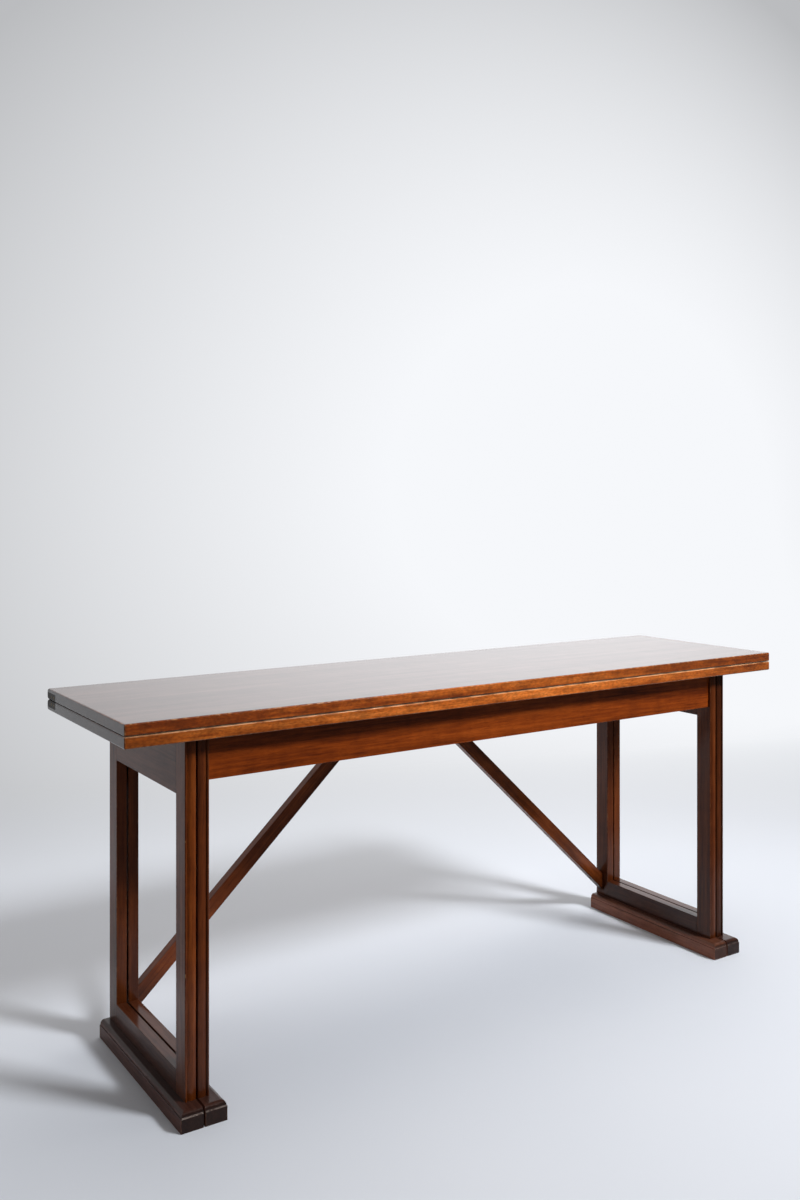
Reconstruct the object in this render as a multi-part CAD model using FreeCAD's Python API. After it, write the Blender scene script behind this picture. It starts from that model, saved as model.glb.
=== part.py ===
import FreeCAD, Part
import math
import os

# Folding console table. Millimetres, +Z up. X runs along the table, the front is -Y, and the
# origin is on the floor under the middle of the folded top. The top is two leaves: the upper one
# lies on the lower one and turns over to the back on a pair of card-table hinges. Each end stands
# on two twin frames, and the outer frame swings back as a gate to carry the opened leaf.

# Top
table_height = 750.0
top_length = 1711.0
leaf_depth = 463.0
leaf_thickness = 21.8
leaf_gap = 0.8
leaf_front_round = 3.0
leaf_end_round = 2.8
leaf_back_round = 7.0

# End frames, placed by the middle of the slit between the twins
slit_inset = 153.0
frame_slit = 4.0
frame_thickness = 22.0
post_depth = 44.0
front_post_inset = 40.0
back_post_inset = 10.5
top_rail_height = 111.2
bottom_rail_height = 43.0
gate_top_clearance = 0.5
post_back_round = 1.5
frame_arris = 0.8

# Moulding on the front of the front posts: a bead, a quirk beside it, then a wide crown
bead_width = 4.5
quirk_width = 2.0
quirk_depth = 3.2
crown_fall = 2.4

# Feet: a plinth with a quarter-round moulding standing back from its edge
foot_height = 37.0
foot_side_overhang = 21.5
foot_front_overhang = 33.0
foot_round = 8.5
foot_lip = 1.5
foot_quirk = 1.6
foot_arris = 1.0

# Apron, back rail and braces
apron_height = 85.2
rail_thickness = 22.0
rail_setback = 6.0
rail_arris = 1.0
brace_width = 32.0
brace_foot_height = 73.5

# Joinery
tenon_thickness = 8.0
tenon_shoulder = 6.0
tenon_wall = 3.0
foot_tenon_length = 18.0
apron_tenon_length = 14.0
apron_tenon_offset = 5.0
brace_tenon_length = 6.0
joint_clearance = 0.1
mortise_end_gap = 0.5

# Blocks that hold the lower leaf down
block_size = 24.0
block_length = 60.0
block_pitch = 450.0
block_count = 3

# Card-table hinges in the leaf ends
pivot_inset = 7.75
hinge_plate_length = 56.0
hinge_plate_thickness = 3.0
hinge_plate_clearance = 0.05
hinge_pin_radius = 2.0
hinge_pin_seat = 8.0
link_thickness = 3.0
link_end_radius = 5.5
link_waist = 7.0
link_side_clearance = 0.3
link_pocket_clearance = 0.4
plate_screw_edge = 10.0
plate_screw_pitch = 17.0

# Butt hinges of the gates
butt_height = 64.0
butt_leaf_width = 20.0
butt_leaf_clearance = 0.1
butt_barrel_radius = 3.5
butt_barrel_clearance = 0.5
butt_pin_radius = 1.6
butt_pin_head_radius = 3.0
butt_pin_head_height = 1.5
butt_knuckles = 5
butt_knuckle_gap = 0.2
butt_screw_pitch = 40.0
butt_upper_drop = 17.0
butt_lower_rise = 20.0

# Pins and screws
pin_running_clearance = 0.05
pin_seat_clearance = 0.02
hinge_screw_head_radius = 3.0
hinge_screw_shank_radius = 1.7
hinge_screw_length = 15.0
wood_screw_head_radius = 4.5
wood_screw_shank_radius = 2.4
wood_screw_bite = 14.0
brace_screw_grip = 30.0
brace_screw_rise = 15.0
screw_slot_width = 0.9
screw_slot_depth = 0.8
screw_clearance = 0.05

# Planes worked out from the sizes above; the right-hand end is modelled and the left is its mirror
leaf_end = top_length / 2
leaf_back = leaf_depth / 2
leaf_front = -leaf_back
lower_leaf_top = table_height - leaf_thickness - leaf_gap
top_underside = lower_leaf_top - leaf_thickness
parting = lower_leaf_top + leaf_gap / 2
slit_x = leaf_end - slit_inset
slit_face = slit_x - frame_slit / 2
inner_face = slit_face - frame_thickness
front_face = leaf_front + front_post_inset
back_face = leaf_back - back_post_inset
front_post_y = (front_face, front_face + post_depth)
back_post_y = (back_face - post_depth, back_face)
window_y = (front_post_y[1], back_post_y[0])
frame_x = (inner_face, slit_face)
tenon_x = (inner_face + (frame_thickness - tenon_thickness) / 2,
           slit_face - (frame_thickness - tenon_thickness) / 2)
rail_tenon_length = post_depth - rail_setback - apron_tenon_offset - tenon_thickness - tenon_wall
apron_bottom = top_underside - apron_height
apron_y = (front_face + rail_setback, front_face + rail_setback + rail_thickness)
apron_tenon_y = (apron_y[0] + apron_tenon_offset, apron_y[0] + apron_tenon_offset + tenon_thickness)
back_rail_y = (back_face - rail_setback - rail_thickness, back_face - rail_setback)
back_tenon_y = (back_rail_y[1] - apron_tenon_offset - tenon_thickness, back_rail_y[1] - apron_tenon_offset)
pivot_y = leaf_back - pivot_inset + leaf_gap / 2
pivot_edge = pivot_inset - leaf_gap / 2
butt_axis_y = back_face + butt_barrel_radius + butt_barrel_clearance
brace_angle = math.atan2(top_underside - brace_foot_height, inner_face)
brace_top_at_post = brace_foot_height + brace_width / 2 / math.cos(brace_angle)

FAR = 4 * top_length
ORIGIN = FreeCAD.Vector(0, 0, 0)
ALONG_X = FreeCAD.Vector(1, 0, 0)
ALONG_Y = FreeCAD.Vector(0, 1, 0)
ALONG_Z = FreeCAD.Vector(0, 0, 1)


def vec(x, y, z):
    return FreeCAD.Vector(x, y, z)


def box(x, y, z):
    """Box between a low and a high limit on each axis."""
    return Part.makeBox(x[1] - x[0], y[1] - y[0], z[1] - z[0], vec(x[0], y[0], z[0]))


def grow(limits, amount):
    """Limits moved apart by an amount at both ends, or together where it is negative."""
    return (limits[0] - amount, limits[1] + amount)


def around(middle, length):
    return (middle - length / 2, middle + length / 2)


def rod_x(radius, x, y, z):
    return Part.makeCylinder(radius, x[1] - x[0], vec(x[0], y, z), ALONG_X)


def rod_z(radius, x, y, z):
    return Part.makeCylinder(radius, z[1] - z[0], vec(x, y, z[0]), ALONG_Z)


def joined(first, *others):
    """One solid made of several that touch or overlap, without the seams between them."""
    return first.fuse(list(others)).removeSplitter()


def less(shape, *tools):
    return shape.cut(list(tools))


def mirrored_at(shape, x):
    return shape.mirror(vec(x, 0, 0), ALONG_X)


def mirrored(shape):
    return mirrored_at(shape, 0)


def edges_in_planes(shape, x=None, y=None, z=None):
    """Edges that lie wholly in each of the planes named."""
    tolerance = 1e-6
    found = []
    for edge in shape.Edges:
        reach = edge.BoundBox
        spans = ((x, reach.XMin, reach.XMax), (y, reach.YMin, reach.YMax), (z, reach.ZMin, reach.ZMax))
        lies_in = [abs(lowest - plane) < tolerance and abs(highest - plane) < tolerance
                   for plane, lowest, highest in spans if plane is not None]
        if all(lies_in):
            found.append(edge)
    return found


def extruded(edges, along):
    return Part.Face(Part.Wire(edges)).extrude(along)


def line(start, end):
    return Part.LineSegment(start, end).toShape()


def arc(start, middle, end):
    return Part.Arc(start, middle, end).toShape()


def screw(head, along, length, head_radius, shank_radius):
    """Countersunk slotted screw, with its head's face at `head` and its shank running along `along`."""
    shape = screw_hole(ORIGIN, ALONG_Z, length, head_radius, shank_radius, 0.0)
    slot = box(grow((0, 0), head_radius), around(0, screw_slot_width), (0, screw_slot_depth))
    shape = less(shape, slot)
    shape.Placement = FreeCAD.Placement(head, FreeCAD.Rotation(ALONG_Z, along))
    return shape


def screw_hole(head, along, length, head_radius, shank_radius, clearance):
    """The countersunk hole that such a screw sits in, larger all round by the clearance."""
    sink = head_radius - shank_radius
    cone = Part.makeCone(head_radius + clearance, shank_radius + clearance, sink, head, along)
    shank = Part.makeCylinder(shank_radius + clearance, length + clearance, head, along)
    return joined(cone, shank)


def hinge_screw(head, along):
    return screw(head, along, hinge_screw_length, hinge_screw_head_radius, hinge_screw_shank_radius)


def hinge_screw_hole(head, along):
    return screw_hole(head, along, hinge_screw_length, hinge_screw_head_radius, hinge_screw_shank_radius,
                      screw_clearance)


# End frames, made as the inner frame of the right-hand end

def rail_with_tenons(z):
    """A rail between the two posts of a frame, tenoned into both."""
    tenon_y = grow(window_y, rail_tenon_length)
    body = box(frame_x, window_y, z)
    long_edges = []
    for face in frame_x:
        for level in z:
            long_edges += edges_in_planes(body, x=face, z=level)
    body = body.makeFillet(frame_arris, long_edges)
    tenon = box(tenon_x, tenon_y, grow(z, -tenon_shoulder))
    mortise = box(grow(tenon_x, joint_clearance), grow(tenon_y, mortise_end_gap),
                  grow(z, joint_clearance - tenon_shoulder))
    return joined(body, tenon), mortise


def post_tenon(post_y):
    """The stub on a post's lower end, and the mortise for it in the foot."""
    tenon_y = grow(post_y, -tenon_shoulder)
    floor = foot_height - foot_tenon_length
    tenon = box(tenon_x, tenon_y, (floor, foot_height))
    mortise = box(grow(tenon_x, joint_clearance), grow(tenon_y, joint_clearance),
                  (floor - mortise_end_gap, foot_height))
    return tenon, mortise


def post_corners(body, y):
    """The two upright edges of a post on the face at y."""
    return edges_in_planes(body, x=inner_face, y=y) + edges_in_planes(body, x=slit_face, y=y)


def front_post_body(top):
    """Front post: a bead on the exposed corner, a quirk, then a crown across to the slit."""
    back = front_post_y[1]
    bead_radius = bead_width / 2
    quirk_floor = front_face + quirk_depth
    crown_edge = front_face + crown_fall
    crown_start = inner_face + bead_width + quirk_width
    low = foot_height
    bead_side = vec(inner_face, front_face + bead_radius, low)
    bead_nose = vec(inner_face + bead_radius, front_face, low)
    bead_end = vec(inner_face + bead_width, front_face + bead_radius, low)
    quirk_near = vec(inner_face + bead_width, quirk_floor, low)
    quirk_far = vec(crown_start, quirk_floor, low)
    crown_near = vec(crown_start, crown_edge, low)
    crown_top = vec((crown_start + slit_face) / 2, front_face, low)
    crown_far = vec(slit_face, crown_edge, low)
    back_far = vec(slit_face, back, low)
    back_near = vec(inner_face, back, low)
    outline = [
        arc(bead_side, bead_nose, bead_end),
        line(bead_end, quirk_near),
        line(quirk_near, quirk_far),
        line(quirk_far, crown_near),
        arc(crown_near, crown_top, crown_far),
        line(crown_far, back_far),
        line(back_far, back_near),
        line(back_near, bead_side),
    ]
    body = extruded(outline, vec(0, 0, top - low))
    return body.makeFillet(frame_arris, post_corners(body, back))


def back_post_body(top):
    body = box(frame_x, back_post_y, (foot_height, top))
    body = body.makeFillet(post_back_round, post_corners(body, back_face))
    return body.makeFillet(frame_arris, post_corners(body, back_post_y[0]))


def foot_body():
    """Half foot under one frame, moulded along its exposed side and its front end."""
    side = inner_face - foot_side_overhang
    front = front_face - foot_front_overhang
    plinth_height = foot_height - foot_round - foot_lip
    plinth = box((side, slit_face), (front, back_face), (0, plinth_height))
    plinth_edges = edges_in_planes(plinth, x=side, z=plinth_height)
    plinth_edges += edges_in_planes(plinth, y=front, z=plinth_height)
    plinth_edges += edges_in_planes(plinth, x=side, y=front)
    plinth = plinth.makeFillet(foot_arris, plinth_edges)
    cap = box((side + foot_quirk, slit_face), (front + foot_quirk, back_face), (plinth_height, foot_height))
    cap_edges = edges_in_planes(cap, x=side + foot_quirk, z=foot_height)
    cap_edges += edges_in_planes(cap, y=front + foot_quirk, z=foot_height)
    cap = cap.makeFillet(foot_round, cap_edges)
    return joined(plinth, cap)


def end_frame(top):
    """The five pieces of a frame whose posts and top rail end at the height `top`."""
    top_rail, top_mortise = rail_with_tenons((top - top_rail_height, top))
    bottom_rail, bottom_mortise = rail_with_tenons((foot_height, foot_height + bottom_rail_height))
    front_tenon, front_mortise = post_tenon(front_post_y)
    back_tenon, back_mortise = post_tenon(back_post_y)
    front_post = joined(front_post_body(top), front_tenon)
    back_post = joined(back_post_body(top), back_tenon)
    return {
        "front_post": less(front_post, top_mortise, bottom_mortise),
        "back_post": less(back_post, top_mortise, bottom_mortise),
        "top_rail": top_rail,
        "bottom_rail": bottom_rail,
        "foot": less(foot_body(), front_mortise, back_mortise),
    }


# Apron, back rail and braces

def long_rail(y, tenon_y):
    """A rail between the inner posts of both ends, and the mortise for it in the right-hand post."""
    z = (apron_bottom, top_underside)
    body = box((-inner_face, inner_face), y, z)
    lower_edges = edges_in_planes(body, y=y[0], z=apron_bottom) + edges_in_planes(body, y=y[1], z=apron_bottom)
    body = body.makeFillet(rail_arris, lower_edges)
    reach = inner_face + apron_tenon_length
    tenon = box((-reach, reach), tenon_y, grow(z, -tenon_shoulder))
    mortise = box((0, reach + mortise_end_gap), grow(tenon_y, joint_clearance),
                  grow(z, joint_clearance - tenon_shoulder))
    return joined(body, tenon), mortise


def brace_bar(width, y, arris=0.0):
    """A long bar on the brace's centre line, from the middle of the top's underside down to the post."""
    bar = box((-FAR, FAR), y, around(0, width))
    if arris:
        corners = [edge for edge in bar.Edges if edge.BoundBox.XLength > FAR]
        bar = bar.makeFillet(arris, corners)
    slope = FreeCAD.Rotation(ALONG_Y, math.degrees(brace_angle))
    bar.Placement = FreeCAD.Placement(vec(0, 0, top_underside), slope)
    return bar


def within(shape, reach, height):
    """What is left of a brace's bar inside the post's face plane and under the rail's bottom plane."""
    return shape.common(box((0, reach), (-FAR, FAR), (0, height)))


def brace_screw_at():
    """Head of the brace's screw: inside the brace, level, aimed at the post."""
    middle = (back_tenon_y[0] + back_tenon_y[1]) / 2
    return vec(inner_face - brace_screw_grip, middle, brace_foot_height + brace_screw_rise)


def right_brace():
    """The brace, and the mortises for its two stub tenons."""
    tenon_width = brace_width - 2 * tenon_shoulder
    body = within(brace_bar(brace_width, back_rail_y, rail_arris), inner_face, apron_bottom)
    tenon = within(brace_bar(tenon_width, back_tenon_y),
                   inner_face + brace_tenon_length, apron_bottom + brace_tenon_length)
    mortise = within(brace_bar(tenon_width + 2 * joint_clearance, grow(back_tenon_y, joint_clearance)),
                     inner_face + brace_tenon_length + mortise_end_gap,
                     apron_bottom + brace_tenon_length + mortise_end_gap)
    return joined(body, tenon), mortise


def brace_screw_parts():
    """The screw, its hole, and the wider way in from the brace's lower edge."""
    head = brace_screw_at()
    length = brace_screw_grip + wood_screw_bite
    shape = screw(head, ALONG_X, length, wood_screw_head_radius, wood_screw_shank_radius)
    hole = screw_hole(head, ALONG_X, length, wood_screw_head_radius, wood_screw_shank_radius, screw_clearance)
    way_in = rod_x(wood_screw_head_radius + screw_clearance, (head.x - 2 * brace_width, head.x), head.y, head.z)
    return shape, joined(hole, way_in)


# Leaves and their hinges

def leaf_blank():
    """The lower leaf before its hinges are let in: rounded arrises, and a back corner round the pivot."""
    low = top_underside
    high = lower_leaf_top
    pivot_z = parting - pivot_inset
    x = -leaf_end
    bow = math.sqrt(0.5)
    front_high = vec(x, leaf_front + leaf_front_round, high)
    front_low = vec(x, leaf_front + leaf_front_round, low)
    inner_start = vec(x, pivot_y, high)
    inner_end = vec(x, leaf_back, pivot_z)
    outer_start = vec(x, leaf_back, low + leaf_back_round)
    outer_end = vec(x, leaf_back - leaf_back_round, low)
    front_cut = leaf_front + leaf_front_round * (1 - bow)
    outline = [
        line(front_high, inner_start),
        arc(inner_start, vec(x, pivot_y + pivot_edge * bow, pivot_z + pivot_edge * bow), inner_end),
        line(inner_end, outer_start),
        arc(outer_start, vec(x, leaf_back - leaf_back_round * (1 - bow), low + leaf_back_round * (1 - bow)),
            outer_end),
        line(outer_end, front_low),
        arc(front_low, vec(x, front_cut, low + leaf_front_round * (1 - bow)),
            vec(x, leaf_front, low + leaf_front_round)),
        line(vec(x, leaf_front, low + leaf_front_round), vec(x, leaf_front, high - leaf_front_round)),
        arc(vec(x, leaf_front, high - leaf_front_round),
            vec(x, front_cut, high - leaf_front_round * (1 - bow)), front_high),
    ]
    blank = extruded(outline, vec(top_length, 0, 0))
    end_edges = edges_in_planes(blank, x=-leaf_end) + edges_in_planes(blank, x=leaf_end)
    return blank.makeFillet(leaf_end_round, end_edges)


def plate_outline(x, clearance):
    """A hinge plate's shape along X: a straight tail that ends in a round lobe at the pivot."""
    pivot_z = parting - pivot_inset
    half = pivot_edge + clearance
    tail = box(x, (leaf_back - hinge_plate_length - clearance, pivot_y), around(pivot_z, 2 * half))
    lobe = rod_x(half, x, pivot_y, pivot_z)
    return joined(tail, lobe)


def plate_screw_heads():
    first = leaf_back - hinge_plate_length + plate_screw_edge
    pivot_z = parting - pivot_inset
    return [vec(leaf_end, first, pivot_z), vec(leaf_end, first + plate_screw_pitch, pivot_z)]


def hinge_pin_x():
    pocket = leaf_end - hinge_plate_thickness - link_thickness - 2 * link_side_clearance
    return (pocket - hinge_pin_seat, leaf_end)


def lower_hinge(blank):
    """Right-hand hinge pieces in the lower leaf, and all that is cut from the leaf for them."""
    pivot_z = parting - pivot_inset
    plate_x = (leaf_end - hinge_plate_thickness, leaf_end)
    pocket_x = (plate_x[0] - link_thickness - 2 * link_side_clearance, plate_x[0])
    pocket_reach = link_end_radius + link_pocket_clearance
    pin_x = hinge_pin_x()
    pin_hole = rod_x(hinge_pin_radius + pin_seat_clearance, grow(pin_x, mortise_end_gap), pivot_y, pivot_z)
    screw_holes = [hinge_screw_hole(head, -ALONG_X) for head in plate_screw_heads()]
    recess = plate_outline((plate_x[0], FAR), hinge_plate_clearance)
    pocket = box(pocket_x, (pivot_y - pocket_reach, FAR), (pivot_z - pocket_reach, FAR))
    plate = less(plate_outline(plate_x, 0.0).common(blank), pin_hole, *screw_holes)
    screws = [hinge_screw(head, -ALONG_X) for head in plate_screw_heads()]
    return {
        "plate": plate,
        "pin": rod_x(hinge_pin_radius, pin_x, pivot_y, pivot_z),
        "screws": Part.makeCompound(screws),
        "cuts": [recess, pocket, pin_hole] + screw_holes,
    }


def hinge_link():
    """Right-hand link: a dumbbell on both pivots, free to turn on the pins."""
    x_high = leaf_end - hinge_plate_thickness - link_side_clearance
    x = (x_high - link_thickness, x_high)
    low = parting - pivot_inset
    high = parting + pivot_inset
    ends = [rod_x(link_end_radius, x, pivot_y, z) for z in (low, high)]
    waist = box(x, around(pivot_y, link_waist), (low, high))
    holes = [rod_x(hinge_pin_radius + pin_running_clearance, x, pivot_y, z) for z in (low, high)]
    return less(joined(waist, *ends), *holes)


def turned_up(shape):
    """The upper leaf's copy of a piece: the lower one mirrored in the parting plane."""
    return shape.mirror(vec(0, 0, parting), ALONG_Z)


# Gate hinges

def knuckles(z, parity, gap):
    """Height limits of every other knuckle of a barrel, shortened by the gap at each end."""
    step = (z[1] - z[0]) / butt_knuckles
    return [(z[0] + index * step + gap / 2, z[0] + (index + 1) * step - gap / 2)
            for index in range(parity, butt_knuckles, 2)]


def butt_leaf(z, parity, bore_clearance):
    """One leaf of a gate hinge, lying on the inner frame's slit face and wrapped round the pin."""
    plate_x = (slit_face, slit_x - butt_leaf_clearance)
    plate = box(plate_x, (back_face - butt_leaf_width, butt_axis_y), grow(z, -butt_knuckle_gap / 2))
    barrels = [rod_z(butt_barrel_radius, slit_x, butt_axis_y, part)
               for part in knuckles(z, parity, butt_knuckle_gap)]
    room = [rod_z(butt_barrel_radius + butt_leaf_clearance, slit_x, butt_axis_y, part)
            for part in knuckles(z, 1 - parity, -butt_knuckle_gap)]
    bore = rod_z(butt_pin_radius + bore_clearance, slit_x, butt_axis_y, z)
    holes = [hinge_screw_hole(head, -ALONG_X) for head in butt_screw_heads(z)]
    return less(joined(less(plate, *room), *barrels), bore, *holes)


def butt_screw_heads(z):
    middle = (z[0] + z[1]) / 2
    head_x = slit_x - butt_leaf_clearance
    head_y = back_face - butt_leaf_width / 2
    return [vec(head_x, head_y, height) for height in around(middle, butt_screw_pitch)]


def butt_pin(z):
    shank = rod_z(butt_pin_radius, slit_x, butt_axis_y, z)
    low = knuckles(z, 0, butt_knuckle_gap)[0][0]
    high = knuckles(z, 0, butt_knuckle_gap)[-1][1]
    foot = rod_z(butt_pin_head_radius, slit_x, butt_axis_y, (low - butt_pin_head_height, low))
    head = rod_z(butt_pin_head_radius, slit_x, butt_axis_y, (high, high + butt_pin_head_height))
    return joined(shank, foot, head)


def butt_heights():
    upper_top = apron_bottom - butt_upper_drop
    lower_bottom = brace_top_at_post + butt_lower_rise
    return {"upper": (upper_top - butt_height, upper_top), "lower": (lower_bottom, lower_bottom + butt_height)}


# Top blocks

def top_block_parts():
    """Blocks in the corner between the leaf and each long rail, with one screw up through each."""
    blocks = []
    screws = []
    holes = []
    rows = ((apron_y[1], apron_y[1] + block_size), (back_rail_y[0] - block_size, back_rail_y[0]))
    length = block_size + wood_screw_bite
    for row in rows:
        for index in range(block_count):
            middle = (index - (block_count - 1) / 2) * block_pitch
            head = vec(middle, (row[0] + row[1]) / 2, top_underside - block_size)
            hole = screw_hole(head, ALONG_Z, length, wood_screw_head_radius, wood_screw_shank_radius,
                              screw_clearance)
            body = box(around(middle, block_length), row, (head.z, top_underside))
            blocks.append(less(body, hole))
            screws.append(screw(head, ALONG_Z, length, wood_screw_head_radius, wood_screw_shank_radius))
            holes.append(hole)
    return blocks, screws, holes


def build():
    """Every node of the table by name."""
    nodes = {}
    inner = end_frame(top_underside)
    gate = end_frame(top_underside - gate_top_clearance)
    nodes["front_apron"], apron_mortise = long_rail(apron_y, apron_tenon_y)
    back_rail, back_rail_mortise = long_rail(back_rail_y, back_tenon_y)
    brace, brace_mortise = right_brace()
    brace_screw, brace_hole = brace_screw_parts()
    brace = less(brace, brace_hole)
    nodes["back_rail"] = less(back_rail, brace_mortise, mirrored(brace_mortise))
    inner["front_post"] = less(inner["front_post"], apron_mortise)
    inner["back_post"] = less(inner["back_post"], back_rail_mortise, brace_mortise, brace_hole)

    fixed_screws = []
    gate_screws = []
    pins = []
    for name, z in butt_heights().items():
        heads = butt_screw_heads(z)
        holes = [hinge_screw_hole(head, -ALONG_X) for head in heads]
        fixed_leaf = butt_leaf(z, 0, pin_seat_clearance)
        moving_leaf = mirrored_at(butt_leaf(z, 1, pin_running_clearance), slit_x)
        inner["back_post"] = less(inner["back_post"], *holes)
        gate["back_post"] = less(gate["back_post"], *holes)
        fixed_screws += [hinge_screw(head, -ALONG_X) for head in heads]
        gate_screws += [mirrored_at(hinge_screw(head, -ALONG_X), slit_x) for head in heads]
        pins.append(butt_pin(z))
        nodes["right_" + name + "_gate_hinge_fixed_leaf"] = fixed_leaf
        nodes["right_" + name + "_gate_hinge_moving_leaf"] = moving_leaf
    nodes["right_gate_screws"] = Part.makeCompound(gate_screws)

    for name, shape in inner.items():
        nodes["right_inner_" + name] = shape
    for name, shape in gate.items():
        nodes["right_gate_" + name] = mirrored_at(shape, slit_x)
    blank = leaf_blank()
    hinge = lower_hinge(blank)
    nodes["right_brace"] = brace
    nodes["right_lower_hinge_plate"] = hinge["plate"]
    nodes["right_upper_hinge_plate"] = turned_up(hinge["plate"])
    nodes["right_hinge_link"] = hinge_link()
    for name in [name for name in nodes if name.startswith("right_")]:
        nodes[name.replace("right_", "left_")] = mirrored(nodes[name])

    blocks, top_screws, top_holes = top_block_parts()
    end_cuts = hinge["cuts"] + [mirrored(cut) for cut in hinge["cuts"]]
    bored_leaf = less(blank, *end_cuts)
    nodes["lower_leaf"] = less(bored_leaf, *top_holes)
    nodes["upper_leaf"] = turned_up(bored_leaf)
    hinge_pins = [hinge["pin"], mirrored(hinge["pin"])]
    hinge_screws = [hinge["screws"], mirrored(hinge["screws"])]
    nodes["lower_hinge_pins"] = Part.makeCompound(hinge_pins)
    nodes["upper_hinge_pins"] = Part.makeCompound([turned_up(pin) for pin in hinge_pins])
    nodes["lower_hinge_screws"] = Part.makeCompound(hinge_screws)
    nodes["upper_hinge_screws"] = Part.makeCompound([turned_up(group) for group in hinge_screws])
    nodes["gate_hinge_pins"] = Part.makeCompound(pins + [mirrored(pin) for pin in pins])
    nodes["fixed_gate_hinge_screws"] = Part.makeCompound(fixed_screws + [mirrored(one) for one in fixed_screws])
    nodes["brace_screws"] = Part.makeCompound([brace_screw, mirrored(brace_screw)])
    nodes["top_blocks"] = Part.makeCompound(blocks)
    nodes["top_screws"] = Part.makeCompound(top_screws)
    return nodes


os.makedirs("parts", exist_ok=True)
table = build()
for node, shape in sorted(table.items()):
    shape.exportStep("parts/" + node + ".step")
    print(node, len(shape.Solids), "solids", round(shape.Volume), "mm3", "valid" if shape.isValid() else "INVALID")
print(len(table), "nodes")
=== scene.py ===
# %% [markdown]
# # A folding console table in polished mahogany
# The table is long and narrow. Its top is two leaves folded together, and each end stands on a pair
# of twin frames, one fixed and one hung as a gate. The joinery is already modelled as solids, one
# for each piece of wood or metal. This lesson loads those solids, sets up a small photo studio, and
# gives every piece the finish that it has on the real table.

# %% Load the solids
import math

import bmesh
import bpy
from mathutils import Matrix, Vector


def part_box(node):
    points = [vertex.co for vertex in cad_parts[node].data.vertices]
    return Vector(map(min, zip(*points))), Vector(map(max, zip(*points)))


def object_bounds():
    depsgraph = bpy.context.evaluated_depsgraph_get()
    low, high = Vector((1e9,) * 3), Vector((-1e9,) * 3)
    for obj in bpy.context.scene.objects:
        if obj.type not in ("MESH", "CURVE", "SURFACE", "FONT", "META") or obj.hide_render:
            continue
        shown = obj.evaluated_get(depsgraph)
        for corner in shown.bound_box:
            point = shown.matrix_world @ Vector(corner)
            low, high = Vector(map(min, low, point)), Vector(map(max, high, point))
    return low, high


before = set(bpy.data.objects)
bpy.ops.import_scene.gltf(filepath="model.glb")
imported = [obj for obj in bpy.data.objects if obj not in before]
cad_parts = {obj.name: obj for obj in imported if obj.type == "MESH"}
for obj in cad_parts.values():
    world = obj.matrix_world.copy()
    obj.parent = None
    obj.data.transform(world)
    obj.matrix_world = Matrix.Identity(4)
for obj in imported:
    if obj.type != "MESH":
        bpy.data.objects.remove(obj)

solids_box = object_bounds()
table_size = Vector(solids_box[1]) - Vector(solids_box[0])
print(len(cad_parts), "pieces, in all", [round(side, 3) for side in table_size], "m")

# %% [markdown]
# ## The camera
# The picture was taken from standing height, a little left of the table's front. The camera could be
# tilted down at the table, but then the posts would lean together. A view camera is kept level
# instead, and its lens slides down, so that upright lines stay upright. In Blender that slide is the
# camera's shift, counted in lengths of the picture's longer side.

# %% Set the camera
picture_width = 800
picture_height = 1200
focal_pixels = 1132.0
level_line_pixels = 502.0
centre_line_pixels = 402.6
camera_place = (-1.537, -2.140, 1.137)
camera_turn = math.radians(33.46)
level = math.radians(90)

camera_data = bpy.data.cameras.new("camera")
camera_data.lens = focal_pixels / picture_height * camera_data.sensor_width
camera_data.shift_x = (picture_width / 2 - centre_line_pixels) / picture_height
camera_data.shift_y = (level_line_pixels - picture_height / 2) / picture_height
camera = bpy.data.objects.new("camera", camera_data)
camera.location = camera_place
camera.rotation_euler = (level, 0, -camera_turn)
bpy.context.scene.collection.objects.link(camera)
bpy.context.scene.camera = camera
bpy.context.scene.view_settings.view_transform = "Standard"
print("lens", round(camera_data.lens, 2), "mm, shift", round(camera_data.shift_y, 4))

# %% [markdown]
# ## Short words for shader nodes
# A finish in Blender is a graph of nodes. Building one in a script takes two moves over and over:
# add a node and set its sockets, then join two sockets. One helper does both. A socket's new value
# is either a plain value, which is set, or another node's output, which is linked. The rest of the
# helpers name the few kinds of node that come up most, and return the output that is used.

# %% Helpers for materials and colours


def add(tree, kind, sockets=None, **settings):
    """Add a node, set its properties, and set or link its input sockets by name or number."""
    node = tree.nodes.new("ShaderNode" + kind)
    for name, value in settings.items():
        setattr(node, name, value)
    for key, value in (sockets or {}).items():
        if isinstance(value, bpy.types.NodeSocket):
            tree.links.new(value, node.inputs[key])
        else:
            node.inputs[key].default_value = value
    return node


def blank_material(name):
    material = bpy.data.materials.new(name)
    material.use_nodes = True
    material.node_tree.nodes.clear()
    return material, material.node_tree


def shown_by(tree, shader):
    add(tree, "OutputMaterial", {"Surface": shader.outputs[0]})


def blended(tree, factor, first, second, blend_type="MIX"):
    """The colour between two colours; colour sockets of a Mix node are numbers 6 and 7."""
    mix = add(tree, "Mix", {0: factor, 6: first, 7: second}, data_type="RGBA", blend_type=blend_type)
    return mix.outputs[2]


def shaded(tree, colour, shade):
    """A colour multiplied by a shade, which is a number or another colour."""
    return blended(tree, 1.0, colour, shade, "MULTIPLY")


print("colour helpers ready")

# %% [markdown]
# A pattern or a mask starts as a number that changes from place to place. These helpers do sums with
# such numbers, and make the cloudy noise that breaks up every finish. A band is two values, and
# spreading a number over a band turns it into a soft step between them.

# %% Helpers for numbers and patterns


def between(tree, factor, first, second):
    """The number between two numbers; number sockets of a Mix node are numbers 2 and 3."""
    return add(tree, "Mix", {0: factor, 2: first, 3: second}).outputs[0]


def maths(tree, operation, first, second=0.0):
    return add(tree, "Math", {0: first, 1: second}, operation=operation).outputs[0]


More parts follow.
